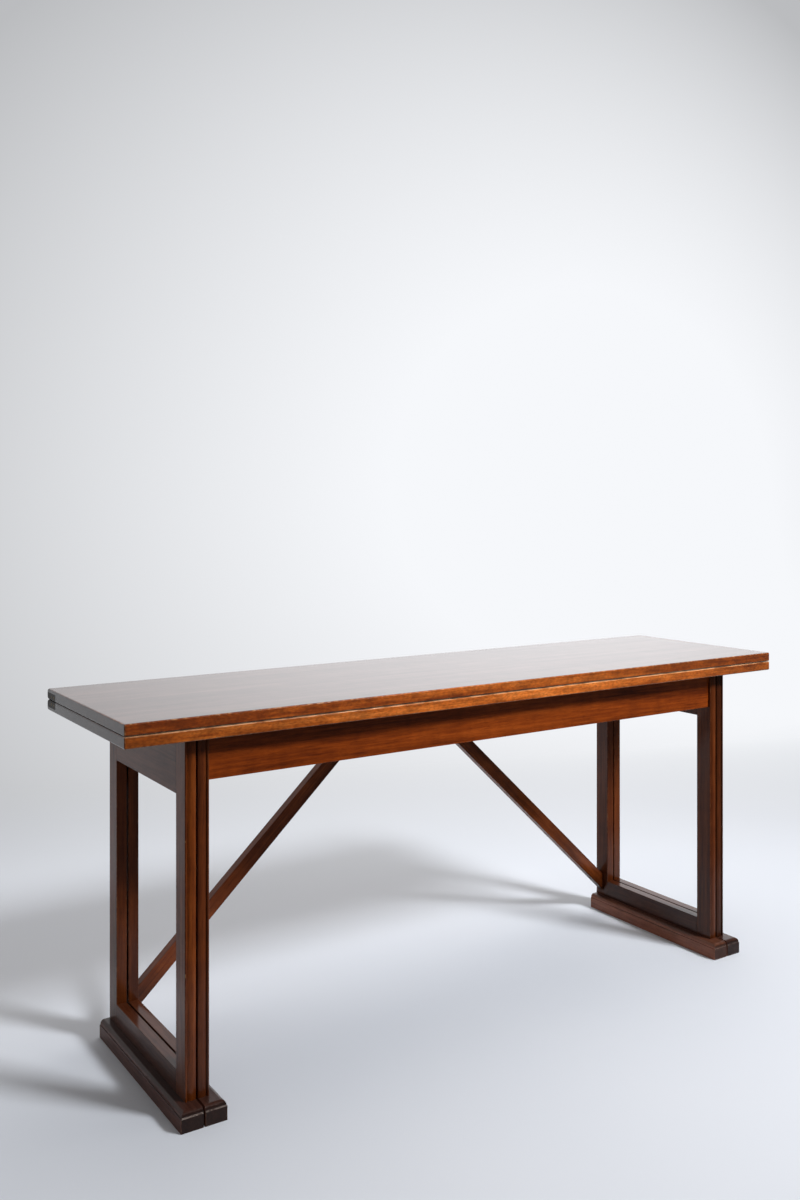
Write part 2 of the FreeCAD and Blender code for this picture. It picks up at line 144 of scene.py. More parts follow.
def vector_maths(tree, operation, first, second=(0.0, 0.0, 0.0)):
    return add(tree, "VectorMath", {0: first, 1: second}, operation=operation).outputs[0]


def length_of(tree, vector):
    return add(tree, "VectorMath", {0: vector}, operation="LENGTH").outputs["Value"]


def part_of(tree, vector, axis):
    return add(tree, "SeparateXYZ", {0: vector}).outputs[axis]


def ranged(tree, value, low, high, out_low=0.0, out_high=1.0):
    """A value spread from one range onto another, with its ends held."""
    sockets = {"Value": value, "From Min": low, "From Max": high, "To Min": out_low, "To Max": out_high}
    return add(tree, "MapRange", sockets).outputs[0]


def noise(tree, place, scale, detail):
    """Cloudy noise with so many changes in a metre."""
    return add(tree, "TexNoise", {"Vector": place, "Scale": scale, "Detail": detail}).outputs[0]


def stretched_noise(tree, place, scales, detail):
    """Noise with its own number of changes in a metre along each axis."""
    scaled = add(tree, "Mapping", {"Vector": place, "Scale": scales}).outputs[0]
    return noise(tree, scaled, 1.0, detail)


print("number helpers ready")

# %% [markdown]
# ## Floor and backdrop
# The studio has one pale sweep: a floor that curves up into a wall, so that no line shows where they
# meet. Two planes would show that line. Here a profile of a straight floor, a quarter circle and a
# straight wall is drawn as points, and a strip of faces is stretched between two copies of it.

# %% Build the sweep
sweep_front = -8.0
sweep_wall = 3.6
sweep_cove = 1.4
sweep_height = 6.0
sweep_reach = 9.0
cove_steps = 24

profile = [(sweep_front, 0.0)]
for step in range(cove_steps + 1):
    angle = math.pi / 2 * step / cove_steps
    cove_depth = sweep_wall - sweep_cove + sweep_cove * math.sin(angle)
    cove_rise = sweep_cove * (1 - math.cos(angle))
    profile.append((cove_depth, cove_rise))
profile.append((sweep_wall, sweep_height))

sweep_mesh = bpy.data.meshes.new("sweep")
strip = bmesh.new()
left, right = [[strip.verts.new((x, y, z)) for y, z in profile] for x in (-sweep_reach, sweep_reach)]
for index in range(len(profile) - 1):
    face = strip.faces.new((left[index], right[index], right[index + 1], left[index + 1]))
    face.smooth = True
strip.to_mesh(sweep_mesh)
strip.free()
sweep = bpy.data.objects.new("sweep", sweep_mesh)
bpy.context.scene.collection.objects.link(sweep)
print("sweep of", len(sweep_mesh.polygons), "faces")

# %% [markdown]
# The floor is plain paint that takes light and shadow. The studio is dim in front of the table, so
# front faces keep a deep colour: the camera sees the floor pale there, but the floor sends little
# light back to the wood. The Light Path node tells which kind of ray is asking. To a reflection in a
# piece that is high above it, the floor stays dim further back, so that no pale line runs along the
# arris under the top.

# %% Paint the floor
paint_blue = (0.625, 0.665, 0.74, 1)
paint_white = (0.66, 0.695, 0.765, 1)
paint_mottle_scale = 1.7
dim_depths = (-1.6, 0.3)
dim_shares = (0.12, 0.9)
high_dim_depths = (0.0, 0.7)
high_dim_shares = (0.10, 0.9)
high_lengths = (0.55, 0.85)

paint, tree = blank_material("sweep paint")
path = add(tree, "LightPath").outputs
sweep_place = add(tree, "TexCoord").outputs["Object"]
sweep_across, sweep_depth, sweep_rise = add(tree, "SeparateXYZ", {0: sweep_place}).outputs
paint_mottle = noise(tree, sweep_place, paint_mottle_scale, detail=3.0)
paint_colour = blended(tree, paint_mottle, paint_blue, paint_white)
low_dim = ranged(tree, sweep_depth, *dim_depths, *dim_shares)
high_dim = ranged(tree, sweep_depth, *high_dim_depths, *high_dim_shares)
from_high = maths(tree, "MULTIPLY", path["Is Glossy Ray"], ranged(tree, path["Ray Length"], *high_lengths))
dim_colour = shaded(tree, paint_colour, between(tree, from_high, low_dim, high_dim))
floor_colour = blended(tree, path["Is Camera Ray"], dim_colour, paint_colour)
floor_paint = add(tree, "BsdfDiffuse", {"Color": floor_colour})
print("floor dims in front from", dim_depths[1], "m to", dim_depths[0], "m")

# %% [markdown]
# The wall is lit in a wide pool that is brightest to the right. Lamps strong enough for that would
# also flood the table, so the wall only looks bright: to the camera, and to reflections, it shows
# its own light, and it sends a third of it onto the table. In a picture the middle of the pool stops
# at white, while a reflection still shows how strong it is. The floor turns into lit wall over a
# soft step, which comes nearer at the right, where the pool is.

# %% Light the wall
pool_middle = Vector((3.9, sweep_wall, 1.15))
pool_shape = Vector((0.93, 0.5, 1.12))
pool_lowest = 0.52
pool_lean = 0.3
wall_starts = (0.8, 2.3)
wall_soft_share = 0.35
wall_white = (0.955, 0.97, 1.0, 1)

from_middle = vector_maths(tree, "SUBTRACT", sweep_place, pool_middle)
pool_distance = length_of(tree, vector_maths(tree, "MULTIPLY", from_middle, pool_shape))


def seen_directly(tree):
    """1 for the camera's rays and for mirrored or clear ones, 0 for the rays that carry soft light."""
    path = add(tree, "LightPath").outputs
    mirrored = maths(tree, "MAXIMUM", path["Is Glossy Ray"], path["Is Transmission Ray"])
    return maths(tree, "MAXIMUM", path["Is Camera Ray"], mirrored)


def pool(strongest, reach, limit):
    """Light that falls off with the square of the distance from the pool's middle, within limits."""
    share = maths(tree, "POWER", maths(tree, "DIVIDE", pool_distance, reach), 2.0)
    light = maths(tree, "SUBTRACT", strongest, share)
    return add(tree, "Clamp", {"Value": light, "Min": pool_lowest, "Max": limit}).outputs[0]


pool_shown = pool(strongest=1.03, reach=6.4, limit=0.965)
pool_mirrored = pool(strongest=1.52, reach=3.95, limit=1.52)
pool_light = between(tree, path["Is Glossy Ray"], pool_shown, pool_mirrored)
wall_glow = add(tree, "Emission", {"Color": wall_white, "Strength": pool_light})
direct = seen_directly(tree)
wall_strength = ranged(tree, direct, 0.0, 1.0, wall_soft_share, 1.0)
leaning = {0: sweep_across, 1: pool_lean, 2: sweep_depth}
towards_pool = add(tree, "Math", leaning, operation="MULTIPLY_ADD").outputs[0]
wall_share = maths(tree, "MULTIPLY", ranged(tree, towards_pool, *wall_starts), wall_strength)
swept = add(tree, "MixShader", {0: wall_share, 1: floor_paint.outputs[0], 2: wall_glow.outputs[0]})
print("wall pool round", pool_middle)

# %% [markdown]
# Far from the table the floor takes the room's own pale colour, so that no edge of it shows in a
# picture from behind. The ends of the wall fade into the room in the same way. A reflection sees the
# far floor nearly dark, like the rest of the studio in front of the table.

# %% Fade the far floor and the wall's ends
room_white = (0.93, 0.96, 1.0, 1)
room_shown = 0.85
far_mirrored = 0.07
far_front_depths = (0.6, 1.6)
far_distances = (1.9, 3.4)
left_end = (-3.5, -1.5)
right_end = (6.3, 8.5)
upper_end = (5.2, 6.0)

from_table = length_of(tree, vector_maths(tree, "MULTIPLY", sweep_place, (1.0, 1.0, 0.0)))
far_front = ranged(tree, sweep_depth, *far_front_depths, 1.0, 0.0)
far_front = maths(tree, "MULTIPLY", far_front, ranged(tree, from_table, *far_distances))
far_front = maths(tree, "MULTIPLY", far_front, direct)
far_left = ranged(tree, sweep_across, *left_end, 1.0, 0.0)
far_right = ranged(tree, sweep_across, *right_end)
far_up = ranged(tree, sweep_rise, *upper_end)
far_end = maths(tree, "MAXIMUM", far_left, maths(tree, "MAXIMUM", far_right, far_up))
far_end = maths(tree, "MULTIPLY", far_end, path["Is Camera Ray"])
far_share = maths(tree, "MAXIMUM", far_front, far_end)
far_strength = ranged(tree, path["Is Glossy Ray"], 0.0, 1.0, room_shown, far_mirrored)
far_glow = add(tree, "Emission", {"Color": room_white, "Strength": far_strength})
shown_by(tree, add(tree, "MixShader", {0: far_share, 1: swept.outputs[0], 2: far_glow.outputs[0]}))
sweep_mesh.materials.append(paint)
print("far floor fades from", far_distances[0], "m to", far_distances[1], "m")

# %% [markdown]
# ## Lamps
# One large soft light stands in front and to the right, well above head height, and throws the
# shadows behind the table and to its left. A lamp about a metre wide gives shadows that are clear
# beside a foot and soften further off. Polished wood would also mirror so strong a lamp as a white
# patch. So it is two lamps in one place: the stronger is hidden from reflections, and the weaker
# shows in them as thin glints on the arrises. A wider and warmer lamp hangs overhead and fills the
# shadows, hidden from reflections too.

# %% Set the lamps
key_place = (2.2, -3.7, 3.9)
key_aim = (0.0, 1.1, 0.3)
key_colour = (0.98, 0.985, 0.985)
key_spread = math.radians(72)
over_place = (1.0, 0.6, 3.4)
over_aim = (1.0, 0.6, 0.0)
over_colour = (1.0, 0.95, 0.88)
over_depth = 3.0


def soft_lamp(name, place, aim, size, watts, colour):
    lamp_data = bpy.data.lights.new(name, "AREA")
    lamp_data.size = size
    lamp_data.energy = watts
    lamp_data.color = colour
    lamp = bpy.data.objects.new(name, lamp_data)
    lamp.location = place
    lamp.rotation_euler = (Vector(aim) - Vector(place)).to_track_quat("-Z", "Y").to_euler()
    bpy.context.scene.collection.objects.link(lamp)
    return lamp


key_lamp = soft_lamp("key_lamp", key_place, key_aim, size=1.1, watts=42, colour=key_colour)
glint_lamp = soft_lamp("glint_lamp", key_place, key_aim, size=0.8, watts=15, colour=key_colour)
for lamp in (key_lamp, glint_lamp):
    lamp.data.spread = key_spread
over_lamp = soft_lamp("over_lamp", over_place, over_aim, size=4.0, watts=74, colour=over_colour)
over_lamp.data.shape = "RECTANGLE"
over_lamp.data.size_y = over_depth
for lamp in (key_lamp, over_lamp):
    lamp.visible_glossy = False
print("lamps:", [(lamp.name, lamp.data.energy) for lamp in (key_lamp, glint_lamp, over_lamp)], "W")

# %% [markdown]
# ## The room
# Round the studio is the room, which is Blender's world. The camera sees it pale, like the far
# floor. The light that it gives from all round is weak and a little warm, so that shadows are
# neither black nor blue. A reflection sees it bright above the wall and nearly dark in front.

# %% Set the room
room_fill = (1.0, 0.93, 0.85, 1)
room_fill_strength = 0.25
mirrored_turn = (-0.1, 0.4)
mirrored_strengths = (0.04, 0.85)

room = bpy.data.worlds.new("room")
room.use_nodes = True
tree = room.node_tree
path = add(tree, "LightPath").outputs
backward = part_of(tree, add(tree, "TexCoord").outputs["Generated"], "Y")
mirrored_strength = ranged(tree, backward, *mirrored_turn, *mirrored_strengths)
room_strength = ranged(tree, path["Is Camera Ray"], 0.0, 1.0, room_fill_strength, room_shown)
room_strength = between(tree, path["Is Glossy Ray"], room_strength, mirrored_strength)
room_colour = blended(tree, seen_directly(tree), room_fill, room_white)
room_light = tree.nodes["Background"]
tree.links.new(room_colour, room_light.inputs["Color"])
tree.links.new(room_strength, room_light.inputs["Strength"])
bpy.context.scene.world = room
print("room gives a light of", room_fill_strength, "and shows as", room_shown)

# %% [markdown]
# ## Mahogany
# Mahogany is red-brown, with long streaks, shorter flecks between them, and short open pores that lie
# along the grain. All of these are the same kind of pattern: noise, squeezed across the board and
# stretched along it. A photograph of wood could be wrapped round each piece, but it would turn at
# every corner. Noise that fills space runs through the board as real grain does. The recipe goes
# into one node group that every board shares. Its input is a place in the board, in metres, with X
# along the grain. It gives back how light the wood is there, and how its fine fibres lie.

# %% The grain recipe
grain_roughness = 0.6
tone_band = (0.40, 0.62)
fibre_band = (0.3, 0.7)
fibre_shades = (0.84, 1.12)
pore_band = (0.60, 0.70)
pore_darkest = 0.5

grain = bpy.data.node_groups.new("mahogany grain", "ShaderNodeTree")
grain.interface.new_socket("Place", in_out="INPUT", socket_type="NodeSocketVector")
for label in ("Tone", "Shade", "Height"):
    grain.interface.new_socket(label, in_out="OUTPUT", socket_type="NodeSocketFloat")
grain_in = grain.nodes.new("NodeGroupInput")
grain_out = grain.nodes.new("NodeGroupOutput")


def drawn_out(along, across, detail, distortion=0.0):
    """Noise with so many changes in a metre along the grain, and so many across it."""
    return add(grain, "TexNoise", {
        "Vector": vector_maths(grain, "MULTIPLY", grain_in.outputs["Place"], (along, across, across)),
        "Scale": 1.0,
        "Detail": detail,
        "Roughness": grain_roughness,
        "Distortion": distortion,
    }).outputs[0]


streaks = drawn_out(along=1.8, across=28, detail=4, distortion=0.6)
ribbons = drawn_out(along=3.0, across=150, detail=3, distortion=0.3)
flecks = drawn_out(along=14, across=210, detail=3)
mottle = drawn_out(along=24, across=11, detail=2)
fibres = drawn_out(along=22, across=1300, detail=2)
pore_noise = drawn_out(along=95, across=2300, detail=1)

tone = 0.0
for pattern, share in ((streaks, 0.42), (ribbons, 0.20), (flecks, 0.26), (mottle, 0.12)):
    tone = add(grain, "Math", {0: pattern, 1: share, 2: tone}, operation="MULTIPLY_ADD").outputs[0]
pores = ranged(grain, pore_noise, *pore_band)
fibre_shade = ranged(grain, fibres, *fibre_band, *fibre_shades)
pore_shade = ranged(grain, pores, 0.0, 1.0, 1.0, pore_darkest)
grain.links.new(ranged(grain, tone, *tone_band), grain_out.inputs["Tone"])
grain.links.new(maths(grain, "MULTIPLY", fibre_shade, pore_shade), grain_out.inputs["Shade"])
grain.links.new(maths(grain, "SUBTRACT", fibres, pores), grain_out.inputs["Height"])
print("grain recipe of", len(grain.nodes), "nodes")

# %% [markdown]
# Every board starts in the same way. Its grain direction is a turn of its coordinates, and its place
# in the tree is a shift of them, so that no two boards show the same grain. The stain is three
# shades, dark, middle and light, and the grain's tone chooses between them. End grain drinks more
# stain, so a face that looks along the grain comes out darker.

# %% Start a board and stain it
along_x = (0.0, 0.0, 0.0)
along_y = (0.0, 0.0, math.radians(90))
along_z = (0.0, math.radians(90), 0.0)
board_shift = (0.37, 0.11, 0.23)
end_band = (0.6, 0.95)
end_darkest = 0.16
boards = []


class Board:
    """A board's new material, with the place on the board, its facing, and the grain there."""

    def __init__(self, node, turn):
        self.node = node
        self.material, self.tree = blank_material("mahogany " + node)
        coordinates = add(self.tree, "TexCoord").outputs
        self.place = coordinates["Object"]
        self.facing = coordinates["Normal"]
        shift = [step * len(boards) for step in board_shift]
        turned = add(self.tree, "Mapping", {"Vector": self.place, "Location": shift, "Rotation": turn})
        self.grain = self.tree.nodes.new("ShaderNodeGroup")
        self.grain.node_tree = grain
        self.tree.links.new(turned.outputs[0], self.grain.inputs["Place"])
        turned_facing = add(self.tree, "Mapping", {"Vector": self.facing, "Rotation": turn}).outputs[0]
        end_on = maths(self.tree, "ABSOLUTE", part_of(self.tree, turned_facing, "X"))
        self.end_shade = ranged(self.tree, end_on, *end_band, 1.0, end_darkest)
        boards.append(node)


def stained(board, colours):
    """The wood's colour between a dark, a middle and a light shade."""
    tree = board.tree
    dark, middle, light = [(*colour, 1) for colour in colours]
    tone = board.grain.outputs["Tone"]
    colour = blended(tree, ranged(tree, tone, 0.0, 0.5), dark, middle)
    colour = blended(tree, ranged(tree, tone, 0.5, 1.0), colour, light)
    return shaded(tree, colour, maths(tree, "MULTIPLY", board.grain.outputs["Shade"], board.end_shade))


print("stain ready")

# %% [markdown]
# ## Worn arrises
# Where two faces of a board meet, hands and cloths rub the colour away and the paler wood shows. An
# arris can be found from the place alone: it is where a point is close to two sides of the board's
# box at once. Of the three distances to the nearest side, the middle one is small only there. Fine
# noise breaks the rubbed line into dashes, and a few larger spots of it are chips.

# %% Wear the arrises of a board
arris_reach = 0.0018
dash_scale = 95.0
dash_band = (0.50, 0.64)
chip_scale = 38.0
chip_band = (0.74, 0.77)
chip_wear = 0.8


def arris_mask(board, reach):
    """1 on the edges of the board's box, falling to 0 within the reach."""
    tree = board.tree
    low, high = [Vector(corner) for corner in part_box(board.node)]
    offset = vector_maths(tree, "SUBTRACT", board.place, (low + high) / 2)
    offset = vector_maths(tree, "ABSOLUTE", offset)
    depth = vector_maths(tree, "SUBTRACT", (high - low) / 2, offset)
    x, y, z = add(tree, "SeparateXYZ", {0: depth}).outputs
    lower = maths(tree, "MINIMUM", maths(tree, "MAXIMUM", x, y), maths(tree, "MAXIMUM", y, z))
    second = maths(tree, "MINIMUM", lower, maths(tree, "MAXIMUM", x, z))
    return ranged(tree, second, 0.0, reach, 1.0, 0.0)


def rubbed(board, colour, bare, wear, reach=arris_reach):
    """The colour with the board's arrises worn here and there to the bare wood."""
    tree = board.tree
    dashes = noise(tree, board.place, dash_scale, detail=3.0)
    spots = noise(tree, board.place, chip_scale, detail=1.0)
    rub = maths(tree, "MULTIPLY", ranged(tree, dashes, *dash_band), wear)
    chips = ranged(tree, spots, *chip_band, 0.0, chip_wear)
    worn = maths(tree, "MULTIPLY", maths(tree, "MAXIMUM", rub, chips), arris_mask(board, reach))
    return blended(tree, worn, colour, (*bare, 1))


print("arrises wear over", arris_reach * 1000, "mm")

# %% [markdown]
# ## Polish
# The old finish is shellac rubbed on in many thin coats until the pores fill. It is a clear glossy
# skin over the wood, so the shader's coat stands for it, and the wood underneath stays duller. Each
# kind of polish is a short list of the shader's own settings. The colour is also made darker towards
# the floor, over the lowest part of a board. That is given as two heights and the share of the
# colour that is left at the lower one.

# %% Polish a board
shellac = {"Coat Weight": 0.6, "Coat Roughness": 0.14, "Coat IOR": 1.5, "Specular IOR Level": 0.08}
wood_roughness = (0.52, 0.42)
pore_strength = 0.14
pore_depth = 0.0002
# darker towards the bottom: two heights, and the share of colour left at the lower one
low_end_darkening = (0.05, 0.30, 0.6)
board_wear = 0.15


def put_on(node, material):
    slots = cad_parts[node].data.materials
    slots.clear()
    slots.append(material)


def polish(board, colour, coat):
    """Finish a board's material with its shader, and put it on the board."""
    tree = board.tree
    height = board.grain.outputs["Height"]
    bump = add(tree, "Bump", {"Strength": pore_strength, "Distance": pore_depth, "Height": height})
    wood = {
        "Base Color": colour,
        "Roughness": ranged(tree, board.grain.outputs["Tone"], 0.0, 1.0, *wood_roughness),
        "Normal": bump.outputs[0],
    }
    shown_by(tree, add(tree, "BsdfPrincipled", wood | coat))
    put_on(board.node, board.material)


def polished_board(node, turn, colours, bare, low_end=low_end_darkening, coat=shellac):
    """Give a CAD piece mahogany of its own, worn arrises, a darker low end and a coat of polish."""
    board = Board(node, turn)
    colour = rubbed(board, stained(board, colours), bare, board_wear)
    lowest, highest, darkest = low_end
    low_shade = ranged(board.tree, part_of(board.tree, board.place, "Z"), lowest, highest, darkest, 1.0)
    polish(board, shaded(board.tree, colour, low_shade), coat)


print("polish:", shellac)

# %% [markdown]
# ## The leaves' edges
# The leaves are the widest boards, with the grain along the table. Their front edges are the
# brightest wood on the table: light and hands have bleached them to orange, and a painted highlight
# brightens them further, most of all near the middle of the length. The ends of the length stay
# duller, and a painted shade darkens the edges towards the back. Small specks and longer blotches
# come from noise that is stretched along the edge.

# %% Colour a leaf's edges
upper_edge_colours = ((0.21, 0.038, 0.003), (0.41, 0.092, 0.009), (0.58, 0.155, 0.022))
lower_edge_colours = ((0.26, 0.048, 0.003), (0.52, 0.126, 0.014), (0.70, 0.210, 0.036))
bleached_and_highlit = (1.15, 1.18, 1.35, 1)
dull = (0.52, 0.45, 0.28, 1)
bleach_and_highlight_reach = (0.1, 0.9)
speck_scales = (130.0, 260.0, 260.0)
speck_band = (0.34, 0.6)
speck_shades = (0.7, 1.1)
blotch_scales = (26.0, 70.0, 70.0)
blotch_band = (0.34, 0.62)
blotch_shades = (0.74, 1.12)
edge_depths = (-0.2, 0.15)
back_edge_painted_shade = 0.4


def leaf_edge(board, colours, brightest, blotches):
    """The colour of a leaf's edges, bleached and given a painted highlight most at the brightest place
    along them, with painted shade towards the back.
    """
    tree = board.tree
    from_brightest = maths(tree, "SUBTRACT", part_of(tree, board.place, "X"), brightest)
    bleach_and_highlight = ranged(tree, maths(tree, "ABSOLUTE", from_brightest), *bleach_and_highlight_reach, 1.0, 0.0)
    specks = stretched_noise(tree, board.place, speck_scales, detail=3.0)
    speck_shade = ranged(tree, specks, *speck_band, *speck_shades)
    blotch_shade = ranged(tree, blotches, *blotch_band, *blotch_shades)
    depth = part_of(tree, board.place, "Y")
    # bleaching plus a painted highlight, strongest at the brightest place
    edge = shaded(tree, stained(board, colours), blended(tree, bleach_and_highlight, dull, bleached_and_highlit))
    edge = shaded(tree, edge, maths(tree, "MULTIPLY", speck_shade, blotch_shade))
    # painted shade: the edges grow darker towards the back
    return shaded(tree, edge, ranged(tree, depth, *edge_depths, 1.0, back_edge_painted_shade))


print("edges bleach from", bleach_and_highlight_reach[1], "m to", bleach_and_highlight_reach[0], "m off their brightest place")

# %% [markdown]
# ## The seam
# A painted shade darkens the seam where the two leaves lie together, and the arris just below it
# carries a thin bright line at the front, partly rubbed wear and partly painted highlight. Both are
# found from the height above or below the seam. The blotches of the edge also break the line, so that
# it fades and returns.

# %% Wear a leaf's seam
worn_and_highlit_line = (0.86, 0.50, 0.27, 1)
line_band = (0.0014, 0.0030)
line_break_band = (0.40, 0.56)
line_faintest = 0.15
line_depths = (-0.228, -0.222)
seam_shade_start = 0.0006
seam_shade_darkest = 0.12
seam_level = (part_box("lower_leaf")[1][2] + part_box("upper_leaf")[0][2]) / 2


def seam_wear_shade_and_highlight(board, colour, blotches, unshaded, seam_shade_reach, line_share):
    """The colour with a bright line, part wear and part painted highlight, and painted shade at the seam;
    the shade spares the unshaded share.
    """
    tree = board.tree
    above_seam = maths(tree, "SUBTRACT", part_of(tree, board.place, "Z"), seam_level)
    from_seam = maths(tree, "ABSOLUTE", above_seam)
    # bright line under the seam: partly rubbed wear, partly painted highlight
    line = ranged(tree, from_seam, *line_band, line_share, 0.0)
    line = maths(tree, "MULTIPLY", line, ranged(tree, blotches, *line_break_band, line_faintest, 1.0))
    in_front = ranged(tree, part_of(tree, board.place, "Y"), *line_depths, 1.0, 0.0)
    colour = blended(tree, maths(tree, "MULTIPLY", line, in_front), colour, worn_and_highlit_line)
    # painted shade in the seam, reaching up the upper leaf's lower arris that faces down
    seam_painted_shade = ranged(tree, from_seam, seam_shade_start, seam_shade_reach, seam_shade_darkest, 1.0)
    return shaded(tree, colour, maths(tree, "MAXIMUM", seam_painted_shade, unshaded))


print("seam at", round(seam_level, 4), "m")

# %% [markdown]
# ## The two leaves
# The flats of the leaves have gone dark brown under the wax, and from low down they mirror the pale
# wall. Wax gathers a faint dusty bloom that shows at such low angles, and the shader's sheen stands
# for it. The direction that a face looks in tells a flat from an edge. The front arrises are worn
# the most, where people sit.

# %% Finish the leaves
waxed = {"Coat Weight": 1.0, "Coat Roughness": 0.17, "Coat IOR": 1.5, "Specular IOR Level": 0.10,
         "Sheen Weight": 0.42, "Sheen Roughness": 0.35}
flat_colours = ((0.052, 0.014, 0.006), (0.076, 0.021, 0.008), (0.108, 0.031, 0.012))
flat_band = (0.75, 0.97)
bare_wood = (0.66, 0.36, 0.16)
leaf_arris_reach = 0.0027
front_depths = (-0.22, -0.15)
front_wears = (0.8, 0.05)


def polished_leaf(node, edge_colours, brightest, seam_shade_reach, line_share):
    """Finish a leaf, with dark flats, bleached and highlit edges, worn front arrises, and painted shade and
    highlight at the seam.
    """
    board = Board(node, along_x)
    tree = board.tree
    blotches = stretched_noise(tree, board.place, blotch_scales, detail=2.0)
    upward = maths(tree, "ABSOLUTE", part_of(tree, board.facing, "Z"))
    flat_share = ranged(tree, upward, *flat_band)
    edge = leaf_edge(board, edge_colours, brightest, blotches)
    colour = blended(tree, flat_share, edge, stained(board, flat_colours))
    front_wear = ranged(tree, part_of(tree, board.place, "Y"), *front_depths, *front_wears)
    colour = rubbed(board, colour, bare_wood, front_wear, leaf_arris_reach)
    colour = seam_wear_shade_and_highlight(board, colour, blotches, flat_share, seam_shade_reach, line_share)
    polish(board, colour, waxed)


polished_leaf("lower_leaf", lower_edge_colours, brightest=0.0, seam_shade_reach=0.0014, line_share=0.7)
polished_leaf("upper_leaf", upper_edge_colours, brightest=-0.3, seam_shade_reach=0.0034, line_share=0.0)
print("leaves:", boards)

# %% [markdown]
# ## Apron and back rail
# The apron is the long rail under the front of the top. It is the same timber, a shade darker and
# redder, with straight grain from end to end. The back rail behind it is finished in the same way.

# %% Finish the long rails
rail_colours = ((0.110, 0.0175, 0.0016), (0.225, 0.040, 0.0034), (0.33, 0.066, 0.007))
for rail in ("front_apron", "back_rail"):
    polished_board(rail, along_x, rail_colours, bare_wood)
print("long rails:", boards[-2:])

# %% [markdown]
# ## Braces
# Each brace runs from the foot of a back post up to the middle of the back rail. Its grain follows
# the slope, so the coordinates turn by the slope's angle, which the brace's own box gives. A painted
# shadow darkens the brace's low end, where it meets the post and the post shades it.

# %% Finish the braces
brace_colours = ((0.080, 0.016, 0.003), (0.160, 0.035, 0.006), (0.25, 0.060, 0.011))
# painted shadow on the brace's low end: two heights, and the share of colour left at the lower one
brace_foot_painted_shadow = (0.085, 0.135, 0.35)
for side in ("left", "right"):
    low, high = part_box(side + "_brace")
    slope = math.atan2(high[2] - low[2], high[0] - low[0])
    slope = slope if side == "left" else -slope
    polished_board(side + "_brace", (0.0, slope, 0.0), brace_colours, bare_wood, low_end=brace_foot_painted_shadow)
    print(side, "brace slopes at", round(math.degrees(slope), 1), "degrees")

# %% [markdown]
# ## Feet
# The feet are dark from scuffing and old wax, and a painted shade darkens their tops further. Under a
# foot's rounded moulding is a narrow lip, and at the front a pale line runs along it, partly rubbed by
# shoes and partly a painted highlight. The lip is a line at one height, so the distance from that
# height makes its mask, and noise breaks it.

# %% Finish a foot
foot_wax = {"Coat Weight": 0.5, "Coat Roughness": 0.15, "Coat IOR": 1.5, "Specular IOR Level": 0.08}
bare_foot = (0.33, 0.17, 0.10)
foot_wear = 0.3
top_band = (0.1, 0.8)
top_painted_shade_share = 0.35
moulding_height = 0.010
worn_and_highlit_lip = (0.36, 0.30, 0.27, 1)
lip_band = (0.0004, 0.0014)
lip_break_scale = 160.0
lip_break_band = (0.40, 0.55)
lip_faintest = 0.25
lip_front_band = (-0.9, -0.3)


def polished_foot(node, colours, lip_wear_and_highlight):
    """Finish a foot, with a painted shade on its top, and a pale line of wear and painted highlight on the
    lip under its moulding.
    """
    board = Board(node, along_y)
    tree = board.tree
    colour = rubbed(board, stained(board, colours), bare_foot, foot_wear)
    # painted shade: the foot's upward faces are darker
    top_shade = ranged(tree, part_of(tree, board.facing, "Z"), *top_band, 1.0, top_painted_shade_share)
    colour = shaded(tree, colour, top_shade)
    lip_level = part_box(node)[1][2] - moulding_height
    above_lip = maths(tree, "SUBTRACT", part_of(tree, board.place, "Z"), lip_level)
    # pale lip line at the front: partly rubbed wear, partly painted highlight
    lip = ranged(tree, maths(tree, "ABSOLUTE", above_lip), *lip_band, lip_wear_and_highlight, 0.0)
    breaks = noise(tree, board.place, lip_break_scale, detail=2.0)
    lip = maths(tree, "MULTIPLY", lip, ranged(tree, breaks, *lip_break_band, lip_faintest, 1.0))
    front_share = ranged(tree, part_of(tree, board.facing, "Y"), *lip_front_band, 1.0, 0.0)
    colour = blended(tree, maths(tree, "MULTIPLY", lip, front_share), colour, worn_and_highlit_lip)
    polish(board, colour, foot_wax)


print("foot's lip is", moulding_height * 1000, "mm under its top")

# %% [markdown]
# ## End frames
# Each end has two twin frames with a narrow slit between them. Posts have upright grain, and rails
# and feet have grain that runs from front to back. The gate's front post at the left has had the
# most daylight, and is paler than the others, and its twin at the right is darker. One foot was left
# redder, and the two feet at the left have the strongest pale lip lines, of wear and painted highlight.

# %% Finish the end frames
post_colours = ((0.070, 0.014, 0.003), (0.115, 0.026, 0.005), (0.165, 0.040, 0.008))
pale_post_colours = ((0.095, 0.018, 0.002), (0.175, 0.039, 0.005), (0.25, 0.062, 0.010))
dark_post_colours = ((0.038, 0.008, 0.002), (0.066, 0.015, 0.003), (0.100, 0.024, 0.005))
low_rail_colours = ((0.065, 0.016, 0.006), (0.110, 0.028, 0.010), (0.160, 0.044, 0.016))
foot_colours = ((0.075, 0.028, 0.020), (0.125, 0.048, 0.034), (0.180, 0.072, 0.051))
red_foot_colours = ((0.20, 0.072, 0.041), (0.31, 0.112, 0.064), (0.40, 0.148, 0.086))
own_colours = {
    "left_gate_front_post": pale_post_colours,
    "right_gate_front_post": dark_post_colours,
    "right_inner_foot": red_foot_colours,
}
usual_lip_wear_and_highlight = 0.3
own_lip_wear_and_highlight = {"left_gate_foot": 1.0, "left_inner_foot": 0.7}

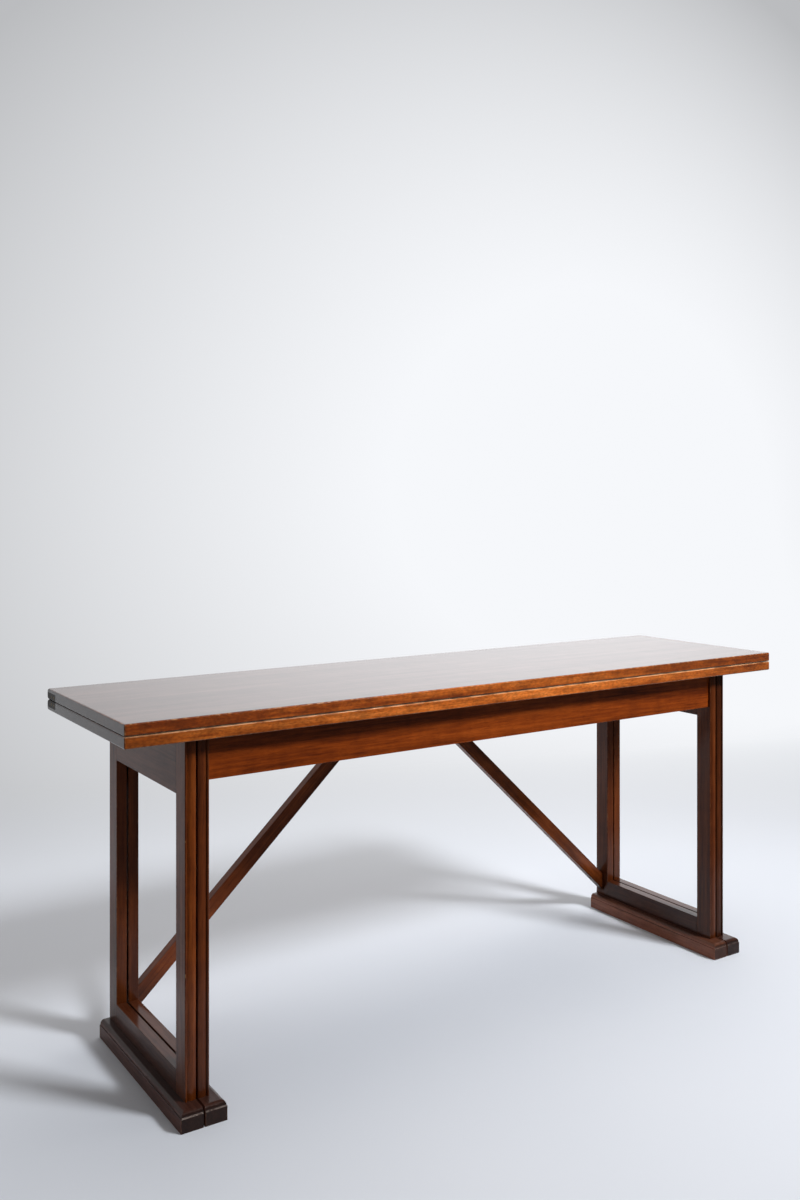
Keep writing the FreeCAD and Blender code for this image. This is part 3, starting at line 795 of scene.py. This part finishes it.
for side in ("left", "right"):
    for part in ("inner", "gate"):
        stem = side + "_" + part + "_"
        for post in (stem + "front_post", stem + "back_post"):
            polished_board(post, along_z, own_colours.get(post, post_colours), bare_wood)
        polished_board(stem + "top_rail", along_y, post_colours, bare_wood)
        polished_board(stem + "bottom_rail", along_y, low_rail_colours, bare_wood)
        foot = stem + "foot"
        lip_wear_and_highlight = own_lip_wear_and_highlight.get(foot, usual_lip_wear_and_highlight)
        polished_foot(foot, own_colours.get(foot, foot_colours), lip_wear_and_highlight)
print(len(boards), "boards so far")

# %% [markdown]
# ## Blocks under the top
# Softwood blocks sit in the corners under the top and are never polished. The same grain recipe
# serves, with pale colours and no coat.

# %% Finish the blocks
block_colours = ((0.30, 0.17, 0.08), (0.44, 0.28, 0.14), (0.54, 0.37, 0.20))
worn_block = (0.60, 0.45, 0.28)
no_polish = {"Coat Weight": 0.0, "Specular IOR Level": 0.3}
polished_board("top_blocks", along_x, block_colours, worn_block, coat=no_polish)
print("blocks:", boards[-1])

# %% [markdown]
# ## Hinges and screws
# The bronze hinges have gone nearly black with age, and the brass screws are dull. A metal has no
# coat: its colour is the colour of its reflection. Noise breaks that colour into darker and lighter
# patches and changes the shine from patch to patch, and fine scratches run across it.

# %% Finish the metal
cloud_scale = 180.0
patina_band = (0.35, 0.65)
shine_band = (0.3, 0.7)
shine_loss = 0.2
scratch_scales = (300.0, 300.0, 2500.0)
scratch_strength = 0.15
scratch_depth = 0.0001


def aged_metal(name, dark, bright, roughness):
    material, tree = blank_material(name)
    place = add(tree, "TexCoord").outputs["Object"]
    cloud = noise(tree, place, cloud_scale, detail=4.0)
    scratches = stretched_noise(tree, place, scratch_scales, detail=2.0)
    bump = add(tree, "Bump", {"Strength": scratch_strength, "Distance": scratch_depth, "Height": scratches})
    shader = add(tree, "BsdfPrincipled", {
        "Base Color": blended(tree, ranged(tree, cloud, *patina_band), (*dark, 1), (*bright, 1)),
        "Metallic": 1.0,
        "Roughness": ranged(tree, cloud, *shine_band, roughness, roughness + shine_loss),
        "Normal": bump.outputs[0],
    })
    shown_by(tree, shader)
    return material


hinge_bronze = aged_metal("aged bronze", (0.014, 0.012, 0.011), (0.060, 0.050, 0.040), roughness=0.36)
screw_brass = aged_metal("dull brass", (0.10, 0.075, 0.035), (0.30, 0.22, 0.11), roughness=0.38)
metal = [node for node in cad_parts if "hinge" in node or "screws" in node]
for node in metal:
    put_on(node, screw_brass if "screws" in node else hinge_bronze)
unfinished = sorted(set(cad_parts) - set(boards) - set(metal))
print(len(metal), "metal pieces; unfinished pieces:", unfinished)
